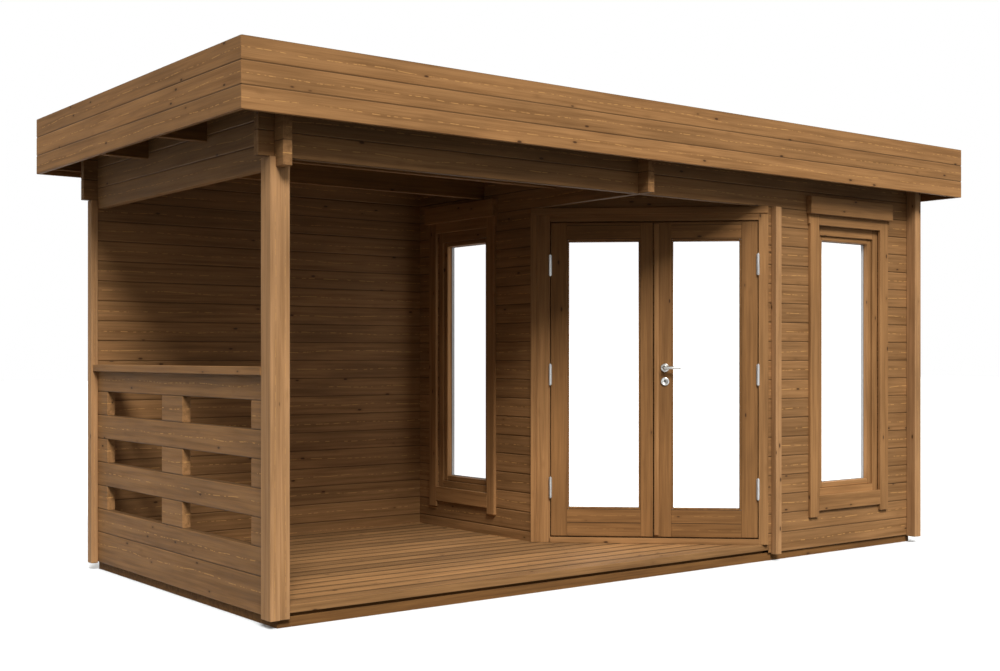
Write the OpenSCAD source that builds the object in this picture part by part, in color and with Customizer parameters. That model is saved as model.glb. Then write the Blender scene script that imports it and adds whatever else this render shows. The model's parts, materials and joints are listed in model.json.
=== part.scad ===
// Flat-roofed garden cabin in stacked logs: an open terrace on the left and a
// closed room on the right, whose front corner is cut at 45 degrees for a
// double glazed door. Millimetres, +Z up, ground at Z = 0, +X along the front
// to the right, +Y to the back. The origin is on the ground under the middle
// of the roof.
//
// The layout is worked out in house coordinates, with X = 0 and Y = 0 on the
// outer corner of the front-left post, and house() moves it onto the origin.

/* [Logs] */
// Height of one wall log
log_h = 114; // [100:1:140]
// Thickness of the wall logs
log_t = 44; // [28:1:70]
// Depth of the V-joint between two logs
joint_d = 4; // [2:0.5:6]
// Courses in the walls below the beams
wall_courses = 18; // [17:1:19]
// Height of the timber frame that the walls stand on
base_h = 46; // [30:1:60]

/* [Plan] */
// Outer left face of the side beam and of the railing
side_x = 26; // [20:1:34]
// Outer face of the front wall and of the front beam
front_y = 12; // [6:1:24]
// Left face of the partition between terrace and room
part_x = 2163; // [2100:1:2230]
// Left face of the right-hand wall
right_x = 4492; // [4350:1:4600]
// Inner face of the back wall
back_y = 2240; // [2200:1:2320]
// Left end of the door opening along X
door_x = 2244; // [2235:1:2260]
// Left end of the door opening along Y
door_y = 901; // [890:1:910]

/* [Posts] */
// Side of the square front-left post
post_w = 95; // [90:1:110]
// Height of the post feet above the ground
post_foot = 38; // [20:1:44]
// Width of the posts on the wall ends
end_post_w = 60; // [50:1:70]
// How far the side posts stand out
end_post_t = 38; // [30:1:50]
// How far the front-right post stands out
front_post_t = 72; // [50:1:90]

/* [Beams and roof] */
// Underside of the side beam above the ground
side_beam_z = 2053; // [2030:1:2080]
// How far the beams run past the front
beam_nose = 72; // [50:1:90]
// How far the front and back beams run past the left side
beam_side_nose = 78; // [60:1:100]
// Roof overhang in front of the post
roof_front = 180; // [150:1:220]
// Roof overhang left of the post
roof_left = 220; // [180:1:260]
// Roof overhang right of the right-hand wall
roof_right = 279; // [220:1:300]
// Roof overhang behind the back wall
roof_back = 246; // [200:1:280]
// Height of one fascia board
fascia_h = 104.5; // [90:0.5:120]
// Fascia board thickness
fascia_t = 20; // [16:1:28]
// Underside of the fascia above the ground
fascia_z = 2256; // [2230:1:2280]
// Thickness of the roof boards
roof_board_t = 19; // [16:1:24]
// Thickness of the roof covering
cover_t = 4; // [3:1:8]
// Thickness of the roof joists
joist_t = 45; // [38:1:60]

/* [Railing] */
// Height of one course of the railing
rail_course = 132.5; // [125:0.5:135]
// Length of one opening in the railing
rail_gap = 785; // [700:1:800]
// Width of the block at each end of the railing
rail_block = 155; // [120:1:200]
// Underside of the handrail above the ground
handrail_z = 1127; // [1115:1:1140]
// Handrail thickness
handrail_h = 38; // [28:1:50]
// Handrail width
handrail_w = 104; // [90:1:120]

/* [Floors] */
// Top of the floors above the ground
floor_z = 100; // [95:1:110]
// Thickness of the floors
floor_t = 37; // [28:1:40]

/* [Windows] */
// Width over the trims of a window
win_w = 739; // [700:1:760]
// Width of the side trims
win_trim = 78; // [60:1:90]
// Middle of the front window along X
win_front_x = 3904; // [3880:1:3930]
// Middle of the side window along Y
win_side_y = 1721; // [1700:1:1740]
// Foot of the side trims above the ground
win_z0 = 230; // [220:1:240]
// Underside of the head board above the ground
win_z1 = 2079; // [2070:1:2085]
// Height of the head board
win_cap_h = 107; // [90:1:120]
// Width of the head board
win_cap_w = 778; // [760:1:800]
// How far the head board stands out of the wall
win_cap_t = 45; // [30:1:60]
// Thickness of the trims
trim_t = 20; // [14:1:26]

/* [Door] */
// Width of one door leaf
leaf_w = 611; // [560:1:640]
// Thickness of the door leaves
leaf_t = 42; // [38:1:46]
// Gap between the leaves, and round them
leaf_gap = 8; // [6:1:10]
// Foot of the leaves above the ground
leaf_z0 = 140; // [138:1:150]
// Top of the leaves above the ground
leaf_z1 = 2008; // [1990:1:2010]
// Height of the top rail of a leaf
top_rail = 103; // [80:1:120]
// Height of the bottom rail of a leaf
bottom_rail = 161; // [140:1:180]
// Height of the lever above the ground
lever_z = 1144; // [1000:1:1200]
// Length of the lever from its axis
lever_l = 103; // [90:1:120]

/* [Hidden] */
eps = 0.01;
fit_gap = 0.2;                                   // over the door's diagonal timbers
wall_top = base_h + wall_courses*log_h;          // underside of the front beam
beam_top = wall_top + 3*log_h;                   // underside of the roof boards
right_out = right_x + log_t;
back_out = back_y + log_t;
roof_x0 = -roof_left;
roof_x1 = right_out + roof_right;
roof_y0 = -roof_front;
roof_y1 = back_out + roof_back;
mid_x = (roof_x0 + roof_x1)/2;
mid_y = (roof_y0 + roof_y1)/2;
fascia_top = fascia_z + 3*fascia_h;
joist_z = 2253;                                  // underside at the overhangs
joist_deep_z = joist_z - log_h/2;                // underside between the walls
joist_ys = [741, 1484];
lap_z = wall_top + 1.5*log_h;                    // halving of crossing beams
edge_joist_z = 2284;

// base frame
base_x0 = 45;
base_x1 = right_out - 12;
base_y0 = 27;
base_y1 = back_out - 14;
bearer_w = 70;
joist_n = 8;
ledger_set = 18;

// windows
win_z_trim0 = 267;                               // foot of the bottom trim
win_z_trim1 = 359;                               // top of the bottom trim
win_z_top = 2015;                                // underside of the top trim
open_w = 596;
open_z0 = 345;
open_z1 = 2030;
frame_in_w = 500;
frame_z0 = 400;
frame_z1 = 1956;
pane_w = 434;
pane_z0 = 433;
pane_z1 = 1926;
ear_w = 10;
ear_h = 60;
frame_set = 10;                                  // frame face behind the wall face
sash_set = 23;                                   // sash face behind the wall face
sash_t = 34;
frame_d = 66;
pane_set = 66;
pane_t = 5;

// door, in its own frame: X along the door, Y into the room
jamb_w = 58;
left_jamb_w = 80;
jamb_d = 70;
stop_w = 14;
stop_y = leaf_t + 5;
strip_w = 37;
strip_out = 6;
head_z = leaf_z1 + leaf_gap;
head_h = 40;
threshold_top = leaf_z0 - leaf_gap;
leaf2_x = leaf_w + leaf_gap;
open_end = 2*leaf_w + leaf_gap;
jamb_gap = 5;
hinge_stile = 96;
meet_stile_l = 74;
meet_stile_r = 100;
glass_t = 6;
astragal_w = 27;
astragal_t = 14;
hinge_zs = [428, 1103, 1755];
hinge_h = 120;
hinge_r = 7;
hinge_out = 11;
hinge_plate = 6;
hinge_plate_t = 3;
lever_x = leaf2_x + 64;
rose_r = 25;
rose_t = 9;
spindle_r = 8;
bore_r = 9.5;
lever_out = 52;
grip_r = 9.5;
grip_back = 12;
key_z = lever_z - 81;
keyhole_r = 8.5;

// lines of the 45 degree corner: x + y and x - y along the door wall
door_sum = door_x + door_y;
part_diff = (door_x - door_y) - 2*(jamb_gap + left_jamb_w + strip_w)*sqrt(0.5);
wall_diff = (door_x - door_y) + 2*(open_end + jamb_gap + jamb_w)*sqrt(0.5);
floor_sum = door_sum + 60;

wood = [0.63, 0.46, 0.30];
wood_pale = [0.68, 0.50, 0.33];
wood_deck = [0.58, 0.42, 0.28];
steel = [0.72, 0.72, 0.70];
pane_c = [0.93, 0.95, 0.96];
felt = [0.20, 0.20, 0.21];

// Moves house coordinates onto the origin under the roof.
module house() translate([-mid_x, -mid_y, 0]) children();

// A block between two corners.
module block(a, b) translate(a) cube([b[0]-a[0], b[1]-a[1], b[2]-a[2]]);

// The outline of stacked boards of thickness t between heights z0 and z1, with
// V-joints on both faces at the heights in zs.
function stack_outline(z0, z1, zs, t, d) = concat(
    [[0, z0]],
    [for (z = zs) each [[0, z-d], [d, z], [0, z+d]]],
    [[0, z1], [t, z1]],
    [for (i = [len(zs)-1:-1:0]) each [[t, zs[i]+d], [t-d, zs[i]], [t, zs[i]-d]]],
    [[t, z0]]);

// Joints between z0 and z1, one course apart, counted from the height start.
function joints(z0, z1, start, course, d) =
    [for (k = [0:40]) let (z = start + k*course) if (z > z0+d && z < z1-d) z];

// Stacked boards along X from x0 to x1 with the front face at y.
module stack_x(x0, x1, y, z0, z1, zs, t, d) translate([x0, y, 0])
    rotate([90, 0, 90]) linear_extrude(x1-x0)
        polygon(stack_outline(z0, z1, zs, t, d));

// Stacked boards along Y from y0 to y1 with the left face at x.
module stack_y(y0, y1, x, z0, z1, zs, t, d) translate([x, y1, 0])
    rotate([90, 0, 0]) linear_extrude(y1-y0)
        polygon(stack_outline(z0, z1, zs, t, d));

// Log walls: courses along X start on the base, those along Y half a log off.
module logs_x(x0, x1, y, z0, z1) stack_x(x0, x1, y, z0, z1,
    joints(z0, z1, base_h, log_h, joint_d), log_t, joint_d);
module logs_y(y0, y1, x, z0, z1, start = base_h) stack_y(y0, y1, x, z0, z1,
    joints(z0, z1, start, log_h, joint_d), log_t, joint_d);

// A prism of the given outline between two heights.
module prism(points, z0, z1) translate([0, 0, z0])
    linear_extrude(z1-z0) polygon(points);

// The door's own frame: X along the door, Y into the room.
module at_door() house() translate([door_x, door_y, 0]) rotate([0, 0, -45]) children();

// ---- ground frame and floors ----

module base_frame() color(wood) house() {
    difference() {
        block([base_x0, base_y0, 0], [base_x1, base_y1, base_h]);
        block([base_x0+bearer_w, base_y0+bearer_w, -1],
            [base_x1-bearer_w, base_y1-bearer_w, base_h+1]);
    }
    for (i = [1:joist_n])
        translate([base_x0 + bearer_w/2 + i*(base_x1-base_x0-bearer_w)/(joist_n+1) - joist_t/2,
                base_y0+bearer_w-1, 0])
            cube([joist_t, base_y1-base_y0-2*bearer_w+2, floor_z-floor_t]);
    // the ledger under the front edge of the deck, set back from the bearer
    block([post_w+ledger_set, base_y0+ledger_set, base_h-1],
        [wall_diff+front_y-ledger_set, base_y0+bearer_w, floor_z-floor_t]);
}

module terrace_deck() color(wood_deck) house() prism([
    [post_w, front_y+2],
    [wall_diff+front_y+2, front_y+2],
    [(floor_sum+wall_diff)/2, (floor_sum-wall_diff)/2],
    [(floor_sum+part_diff)/2, (floor_sum-part_diff)/2],
    [part_x, part_x-part_diff],
    [part_x, back_y],
    [side_x+log_t, back_y],
    [side_x+log_t, post_w],
    [post_w, post_w]], floor_z-floor_t, floor_z);

module room_floor() color(wood_deck) house() prism([
    [(floor_sum+part_diff)/2, (floor_sum-part_diff)/2],
    [(floor_sum+wall_diff)/2, (floor_sum-wall_diff)/2],
    [wall_diff+front_y+log_t, front_y+log_t],
    [right_x, front_y+log_t],
    [right_x, back_y],
    [part_x+log_t, back_y],
    [part_x+log_t, part_x+log_t-part_diff]], floor_z-floor_t, floor_z);

// ---- posts ----

// One of the two planks of the front-left post, cut over the base frame and
// forked round the side beam.
module post_plank(x0, x1) house() difference() {
    block([x0, 0, post_foot], [x1, post_w, wall_top]);
    block([base_x0, base_y0, 0], [x1+1, post_w+1, base_h]);
    block([side_x, -1, side_beam_z], [side_x+log_t, post_w+1, wall_top+1]);
}
module corner_post_left() color(wood_pale) post_plank(0, post_w/2);
module corner_post_right() color(wood_pale) post_plank(post_w/2, post_w);

back_post_y0 = back_y + log_t/2 - end_post_w/2;
module post_back_left() color(wood) house()
    block([side_x-end_post_t, back_post_y0, post_foot],
        [side_x, back_post_y0+end_post_w, wall_top]);
module post_back_right() color(wood) house()
    block([right_out, back_post_y0, post_foot],
        [right_out+end_post_t, back_post_y0+end_post_w, wall_top]);
module post_front_right() color(wood) house()
    block([right_x+log_t/2-end_post_w/2, front_y-front_post_t, post_foot],
        [right_x+log_t/2+end_post_w/2, front_y, beam_top]);
module post_beside_door() color(wood) house()
    block([wall_diff+front_y+24, front_y-42, post_foot],
        [wall_diff+front_y+72, front_y, wall_top]);

// ---- walls ----

module back_wall() color(wood) house()
    logs_x(side_x, right_out, back_y, base_h, wall_top);

module right_wall() color(wood) house() difference() {
    logs_y(front_y, back_y, right_x, base_h, beam_top, base_h+log_h/2);
    joist_notches(right_x);
}

module front_wall() color(wood) house() difference() {
    logs_x(wall_diff+front_y, right_x, front_y, base_h, wall_top);
    // the end by the door is cut at 45 degrees
    prism([[wall_diff+front_y-1, front_y-1], [wall_diff+front_y+log_t+1, front_y+log_t+1],
        [wall_diff+front_y-1, front_y+log_t+1]], base_h-1, wall_top+1);
    block([win_front_x-open_w/2, front_y-1, open_z0],
        [win_front_x+open_w/2, front_y+log_t+1, open_z1]);
}

// the end by the door is cut at 45 degrees, clear of the door's frame
mitre_y = part_x - part_diff + fit_gap;
module partition_wall() color(wood) house() difference() {
    logs_y(part_x-part_diff, back_y, part_x, base_h, wall_top);
    prism([[part_x-1, mitre_y-1], [part_x+log_t+1, mitre_y-1],
        [part_x+log_t+1, mitre_y+log_t+1]], base_h-1, wall_top+1);
    block([part_x-1, win_side_y-open_w/2, open_z0],
        [part_x+log_t+1, win_side_y+open_w/2, open_z1]);
}

// ---- beams: the three courses above the openings ----

// Cuts in a wall along Y for the roof joists that pass over it.
module joist_notches(x) for (y = joist_ys)
    block([x-1, y, joist_z], [x+log_t+1, y+joist_t, beam_top+1]);

// The upper or lower half of the place where the beams cross.
module lap(x, z0, z1) block([x, front_y, z0], [x+log_t, front_y+log_t, z1]);

module front_beam() color(wood) house() difference() {
    logs_x(side_x-beam_side_nose, right_x, front_y, wall_top, beam_top);
    lap(side_x, wall_top-1, lap_z);
    lap(part_x, wall_top-1, lap_z);
}

module back_beam() color(wood) house()
    logs_x(side_x-beam_side_nose, right_out+beam_side_nose, back_y, wall_top, beam_top);

module side_beam() color(wood) house() difference() {
    logs_y(front_y-beam_nose-12, back_y, side_x, side_beam_z, beam_top, side_beam_z);
    lap(side_x, lap_z, beam_top+1);
    joist_notches(side_x);
}

module cross_beam() color(wood) house() difference() {
    logs_y(front_y-beam_nose-12, back_y, part_x, wall_top, beam_top);
    lap(part_x, lap_z, beam_top+1);
    joist_notches(part_x);
}

// The short 45 degree wall over the door, between the cross beam and the
// front beam.
module door_wall_top() color(wood) difference() {
    intersection() {
        at_door() translate([-600, 8, 0])
            logs_x(0, open_end+1200, 0, wall_top, beam_top-fit_gap);
        house() prism([[part_x+log_t, front_y+log_t], [part_x+log_t+2500, front_y+log_t],
            [part_x+log_t, front_y+log_t+2500]], wall_top-1, beam_top+1);
    }
    // the front joist passes through it
    house() translate([0, 0, 1]) long_joist(joist_ys[0]);
    house() long_joist(joist_ys[0]);
}

// ---- railing ----

module railing_panel() color(wood) house() difference() {
    rail_z0 = handrail_z + 18 - 8*rail_course;
    stack_y(post_w, back_y, side_x, base_h, handrail_z,
        joints(base_h+40, handrail_z-40, rail_z0, rail_course, joint_d), log_t, joint_d);
    for (row = [2, 4, 6], y = [post_w+rail_block, back_y-rail_block-rail_gap])
        block([side_x-1, y, rail_z0+row*rail_course],
            [side_x+log_t+1, y+rail_gap, rail_z0+(row+1)*rail_course]);
}

module handrail() color(wood_pale) house()
    block([side_x+log_t/2-handrail_w/2, post_w, handrail_z],
        [side_x+log_t/2+handrail_w/2, back_post_y0, handrail_z+handrail_h]);

// ---- roof ----

// A joist along X: shallow where it runs out to the fascia, deep between the
// walls.
module long_joist(y) {
    block([roof_x0+fascia_t, y, joist_z], [roof_x1-fascia_t, y+joist_t, beam_top]);
    for (x = [[side_x+log_t, part_x], [part_x+log_t, right_x]])
        block([x[0], y, joist_deep_z], [x[1], y+joist_t, joist_z+1]);
}

module roof_joists() color(wood) house() {
    for (y = joist_ys) long_joist(y);
    for (y = [roof_y0+fascia_t, roof_y1-fascia_t-joist_t])
        block([roof_x0+fascia_t, y, edge_joist_z], [roof_x1-fascia_t, y+joist_t, beam_top]);
}

module roof_boards() color(wood_pale) house()
    block([roof_x0+fascia_t, roof_y0+fascia_t, beam_top],
        [roof_x1-fascia_t, roof_y1-fascia_t, beam_top+roof_board_t]);

module roof_covering() color(felt) house()
    block([roof_x0+fascia_t, roof_y0+fascia_t, beam_top+roof_board_t],
        [roof_x1-fascia_t, roof_y1-fascia_t, beam_top+roof_board_t+cover_t]);

// Three fascia boards of the given length, mitred at both ends, with their
// outer face on Y = 0 and the house on the +Y side.
module fascia_side(l) intersection() {
    stack_x(0, l, 0, fascia_z, fascia_top,
        [fascia_z+fascia_h, fascia_z+2*fascia_h], fascia_t, joint_d-1);
    prism([[0, 0], [l, 0], [l-fascia_t, fascia_t], [fascia_t, fascia_t]],
        fascia_z-1, fascia_top+1);
}
module fascia_front() color(wood_pale) house() translate([roof_x0, roof_y0, 0])
    fascia_side(roof_x1-roof_x0);
module fascia_back() color(wood_pale) house() translate([roof_x1, roof_y1, 0])
    rotate([0, 0, 180]) fascia_side(roof_x1-roof_x0);
module fascia_left() color(wood_pale) house() translate([roof_x0, roof_y1, 0])
    rotate([0, 0, -90]) fascia_side(roof_y1-roof_y0);
module fascia_right() color(wood_pale) house() translate([roof_x1, roof_y0, 0])
    rotate([0, 0, 90]) fascia_side(roof_y1-roof_y0);

// ---- windows: outer face of the wall on Y = 0, middle on X = 0 ----

module window_trim() {
    for (s = [-1, 1]) {
        translate([s*(win_w-win_trim)/2 - win_trim/2, -trim_t, win_z0])
            cube([win_trim, trim_t, win_z1-win_z0]);
        translate([s > 0 ? win_w/2-eps : -win_w/2-ear_w, -trim_t, win_z1-ear_h])
            cube([ear_w+eps, trim_t, ear_h]);
    }
    for (z = [[win_z_trim0, win_z_trim1], [win_z_top, win_z1]])
        translate([-win_w/2+win_trim-eps, -trim_t, z[0]])
            cube([win_w-2*win_trim+2*eps, trim_t, z[1]-z[0]]);
    translate([-win_cap_w/2, -win_cap_t, win_z1-eps])
        cube([win_cap_w, win_cap_t, win_cap_h+eps]);
}

// A rectangular ring in the wall's plane.
module ring(w, z0, z1, w_in, z0_in, z1_in, y, d) difference() {
    translate([-w/2, y, z0]) cube([w, d, z1-z0]);
    translate([-w_in/2, y-1, z0_in]) cube([w_in, d+2, z1_in-z0_in]);
}

module window_sash() {
    ring(open_w, open_z0, open_z1, frame_in_w, frame_z0, frame_z1, frame_set, frame_d);
    ring(frame_in_w+2*eps, frame_z0-eps, frame_z1+eps, pane_w, pane_z0, pane_z1,
        sash_set, sash_t+19);
}

module window_pane() translate([-pane_w/2-6, pane_set+10, pane_z0-6])
    cube([pane_w+12, pane_t, pane_z1-pane_z0+12]);

module at_front_window() house() translate([win_front_x, front_y, 0]) children();
module at_side_window() house() translate([part_x, win_side_y, 0])
    rotate([0, 0, -90]) children();

module front_window_trim() color(wood_pale) at_front_window() window_trim();
module front_window_sash() color(wood) at_front_window() window_sash();
module front_window_glass() color(pane_c) at_front_window() window_pane();
module side_window_trim() color(wood_pale) at_side_window() window_trim();
module side_window_sash() color(wood) at_side_window() window_sash();
module side_window_glass() color(pane_c) at_side_window() window_pane();

// ---- door ----

module door_frame() color(wood_pale) at_door() {
    block([-jamb_gap-left_jamb_w, 0, floor_z], [-jamb_gap, jamb_d, head_z+head_h]);
    block([open_end+jamb_gap, 0, floor_z], [open_end+jamb_gap+jamb_w, jamb_d, head_z+head_h]);
    block([-jamb_gap-eps, 0, head_z], [open_end+jamb_gap+eps, jamb_d, head_z+head_h]);
    // stops behind the leaves
    block([-jamb_gap-eps, stop_y, floor_z], [-jamb_gap+stop_w, jamb_d, head_z+eps]);
    block([open_end+jamb_gap-stop_w, stop_y, floor_z], [open_end+jamb_gap+eps, jamb_d, head_z+eps]);
    block([-jamb_gap, stop_y, head_z-stop_w], [open_end+jamb_gap, jamb_d, head_z+eps]);
    // corner strip against the partition, and the board over the head
    block([-jamb_gap-left_jamb_w-strip_w, -strip_out, floor_z],
        [-jamb_gap-left_jamb_w+eps, jamb_d-20, head_z+head_h]);
    block([-jamb_gap-left_jamb_w-strip_w, -strip_out, head_z+head_h-eps],
        [open_end+jamb_gap+jamb_w, jamb_d-20, wall_top-fit_gap]);
}

module door_threshold() color(wood) at_door()
    block([-jamb_gap, -14, floor_z], [open_end+jamb_gap, stop_y, threshold_top]);

// One glazed leaf: a solid slab with one tall opening.
module leaf(x, stile_a, stile_b) difference() {
    block([x, 0, leaf_z0], [x+leaf_w, leaf_t, leaf_z1]);
    block([x+stile_a, -1, leaf_z0+bottom_rail], [x+leaf_w-stile_b, leaf_t+1, leaf_z1-top_rail]);
}
module leaf_glass(x, stile_a, stile_b)
    block([x+stile_a, leaf_t/2-glass_t/2, leaf_z0+bottom_rail],
        [x+leaf_w-stile_b, leaf_t/2+glass_t/2, leaf_z1-top_rail]);

// The pin of the hinges is in front of the gap, at x, on the outside.
hinge_left_x = -jamb_gap/2;
hinge_right_x = open_end + jamb_gap/2;

// One half hinge: the barrel half and a plate on the timber. dir is +1 where
// the plate lies towards +X.
module half_hinge(x, z0, z1, dir, plate_z0, plate_z1, edge) {
    translate([x, -hinge_out, z0]) cylinder(r=hinge_r, h=z1-z0, $fn=32);
    translate([dir > 0 ? edge : edge-hinge_plate, -hinge_plate_t, plate_z0])
        cube([hinge_plate, hinge_plate_t, plate_z1-plate_z0]);
    translate([dir > 0 ? x : edge-2, -hinge_out+1, z0])
        cube([dir > 0 ? edge+2-x : x-edge+2, hinge_out-1, z1-z0]);
}

module frame_hinges() color(steel) at_door() for (z = hinge_zs) {
    half_hinge(hinge_left_x, z-hinge_h/2, z-0.5, -1, z-hinge_h/2, z+hinge_h/2, -jamb_gap);
    half_hinge(hinge_right_x, z-hinge_h/2, z-0.5, 1, z-hinge_h/2, z+hinge_h/2, open_end+jamb_gap);
}

module left_leaf() color(wood_pale) at_door() leaf(0, hinge_stile, meet_stile_l);
module left_leaf_glass() color(pane_c) at_door() leaf_glass(0, hinge_stile, meet_stile_l);
module left_leaf_hinges() color(steel) at_door() for (z = hinge_zs)
    half_hinge(hinge_left_x, z+0.5, z+hinge_h/2, 1, z-hinge_h/2, z+hinge_h/2, 0);

module right_leaf() color(wood_pale) at_door() difference() {
    leaf(leaf2_x, meet_stile_r, hinge_stile);
    translate([lever_x, -1, lever_z]) rotate([-90, 0, 0])
        cylinder(r=bore_r, h=leaf_t+2, $fn=48);
}
module right_leaf_glass() color(pane_c) at_door() leaf_glass(leaf2_x, meet_stile_r, hinge_stile);
module right_leaf_hinges() color(steel) at_door() for (z = hinge_zs)
    half_hinge(hinge_right_x, z+0.5, z+hinge_h/2, -1, z-hinge_h/2, z+hinge_h/2, open_end);
module astragal() color(wood_pale) at_door()
    block([leaf2_x, -astragal_t, leaf_z0+10], [leaf2_x+astragal_w, 0, leaf_z1-10]);

// Round plates with a hole, on the two faces of the right leaf.
module plate(z, hole_r) for (y = [-rose_t, leaf_t])
    translate([lever_x, y, z]) rotate([-90, 0, 0]) difference() {
        cylinder(r=rose_r, h=rose_t, $fn=64);
        translate([0, 0, -1]) cylinder(r=hole_r, h=rose_t+2, $fn=48);
    }
module lock_plates() color(steel) at_door() {
    plate(lever_z, bore_r);
    plate(key_z, keyhole_r);
}

// The spindle through the leaf, with a round lever on each face.
module lever_handle() color(steel) at_door() translate([lever_x, leaf_t/2, lever_z]) {
    grip_y = leaf_t/2 + lever_out - grip_r;
    rotate([-90, 0, 0]) translate([0, 0, -grip_y])
        cylinder(r=spindle_r, h=2*grip_y, $fn=48);
    for (y = [-grip_y, grip_y]) translate([-grip_back, y, 0]) rotate([0, 90, 0])
        cylinder(r=grip_r, h=lever_l+grip_back, $fn=48);
}

base_frame();
terrace_deck();
room_floor();
corner_post_left();
corner_post_right();
post_back_left();
post_back_right();
post_front_right();
post_beside_door();
back_wall();
back_beam();
right_wall();
front_wall();
partition_wall();
front_beam();
side_beam();
cross_beam();
door_wall_top();
railing_panel();
handrail();
roof_joists();
roof_boards();
roof_covering();
fascia_front();
fascia_back();
fascia_left();
fascia_right();
front_window_trim();
front_window_sash();
front_window_glass();
side_window_trim();
side_window_sash();
side_window_glass();
door_frame();
door_threshold();
frame_hinges();
left_leaf();
left_leaf_glass();
left_leaf_hinges();
right_leaf();
right_leaf_glass();
right_leaf_hinges();
astragal();
lock_plates();
lever_handle();
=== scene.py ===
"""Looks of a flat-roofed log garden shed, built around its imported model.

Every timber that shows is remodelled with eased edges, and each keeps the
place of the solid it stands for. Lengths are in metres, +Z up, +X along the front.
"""

import json
import logging
import math
from dataclasses import dataclass
from enum import Enum
from typing import Iterable, Sequence

import bpy
from mathutils import Matrix, Vector


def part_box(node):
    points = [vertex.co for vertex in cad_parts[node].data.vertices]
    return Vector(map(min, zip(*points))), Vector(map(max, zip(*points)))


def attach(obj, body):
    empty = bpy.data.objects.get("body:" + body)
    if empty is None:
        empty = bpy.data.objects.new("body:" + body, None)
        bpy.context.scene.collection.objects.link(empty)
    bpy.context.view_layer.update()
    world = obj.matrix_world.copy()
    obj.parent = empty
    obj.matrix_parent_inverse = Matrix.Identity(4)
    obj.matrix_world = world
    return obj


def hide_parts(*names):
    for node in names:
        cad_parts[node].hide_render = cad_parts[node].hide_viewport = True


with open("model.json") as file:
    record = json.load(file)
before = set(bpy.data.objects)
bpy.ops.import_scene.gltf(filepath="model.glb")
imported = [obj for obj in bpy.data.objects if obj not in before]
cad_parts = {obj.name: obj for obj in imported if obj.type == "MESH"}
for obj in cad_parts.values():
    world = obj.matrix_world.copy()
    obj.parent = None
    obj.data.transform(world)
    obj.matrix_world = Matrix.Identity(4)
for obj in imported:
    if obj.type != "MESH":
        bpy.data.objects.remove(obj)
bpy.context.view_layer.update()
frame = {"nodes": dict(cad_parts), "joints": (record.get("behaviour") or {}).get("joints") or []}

logging.basicConfig(level=logging.INFO, format="%(message)s")
LOG = logging.getLogger("garden_shed")

Colour = tuple[float, float, float]
Point = tuple[float, float, float]

LOG_HEIGHT = 0.114
WALL_FOOT = 0.046
SIDE_BEAM_FOOT = 2.053
RAIL_FOOT = 0.085
RAIL_COURSE = 0.1325
FASCIA_FOOT = 2.256
FASCIA_COURSE = 0.1045
SOFT_EDGE = 0.002
ROOT = "shed"


class Grain(Enum):
    """The way the fibres of a board run."""

    ALONG_X = (0.0, 0.0, 0.0)
    ALONG_Y = (0.0, 0.0, math.radians(-90))
    UPRIGHT = (0.0, math.radians(90), 0.0)
    ALONG_DOOR = (0.0, 0.0, math.radians(45))


# ---------------------------------------------------------------- modelling


def deselect_all() -> None:
    """Leaves nothing selected, so that an operator acts on one object."""
    bpy.ops.object.select_all(action="DESELECT")


def pick(obj: bpy.types.Object) -> None:
    """Makes one object the selected and active one.

    Args:
        obj: The object.
    """
    deselect_all()
    obj.select_set(True)
    bpy.context.view_layer.objects.active = obj


def board(low: Point, high: Point, edge: float = SOFT_EDGE) -> bpy.types.Object:
    """Models one planed board with eased edges.

    Args:
        low: Lowest corner.
        high: Highest corner.
        edge: Width of the eased edge.

    Returns:
        The board, with its place in its mesh.
    """
    size = [h - l for l, h in zip(low, high)]
    centre = [(h + l) / 2 for l, h in zip(low, high)]
    deselect_all()
    bpy.ops.mesh.primitive_cube_add(size=1.0, location=centre, scale=size)
    obj = bpy.context.active_object
    bpy.ops.object.transform_apply(location=True, rotation=True, scale=True)
    width = min(edge, 0.3 * min(size))
    bpy.ops.object.mode_set(mode="EDIT")
    bpy.ops.mesh.select_all(action="SELECT")
    bpy.ops.mesh.bevel(offset=width, segments=2, affect="EDGES")
    bpy.ops.object.mode_set(mode="OBJECT")
    return obj


def round_bar(centre: Point, radius: float, length: float, axis: str,
              edge: float = 0.0015, sides: int = 48) -> bpy.types.Object:
    """Models a turned bar with rounded ends.

    Args:
        centre: Middle of the bar.
        radius: Its radius.
        length: Its length.
        axis: "X", "Y" or "Z".
        edge: Radius of its end edges.
        sides: Sides of its outline.

    Returns:
        The bar, with its place in its mesh.
    """
    turn = {"X": (0, math.pi / 2, 0), "Y": (math.pi / 2, 0, 0), "Z": (0, 0, 0)}[axis]
    deselect_all()
    bpy.ops.mesh.primitive_cylinder_add(vertices=sides, radius=radius, depth=length,
                                        location=centre, rotation=turn)
    obj = bpy.context.active_object
    bpy.ops.object.transform_apply(location=True, rotation=True, scale=True)
    add_bevel(obj, edge, 3, 60)
    bpy.ops.object.shade_smooth_by_angle(angle=math.radians(35))
    return obj


def add_bevel(obj: bpy.types.Object, width: float, segments: int, degrees: float) -> None:
    """Eases the edges of a piece that are sharper than an angle.

    Args:
        obj: The piece.
        width: Width of the eased edge.
        segments: Faces across it.
        degrees: Edges that turn by less are left alone.
    """
    pick(obj)
    bevel = obj.modifiers.new("eased_edges", "BEVEL")
    bevel.width = width
    bevel.segments = segments
    bevel.limit_method = "ANGLE"
    bevel.angle_limit = math.radians(degrees)
    bpy.ops.object.modifier_apply(modifier=bevel.name)


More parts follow.
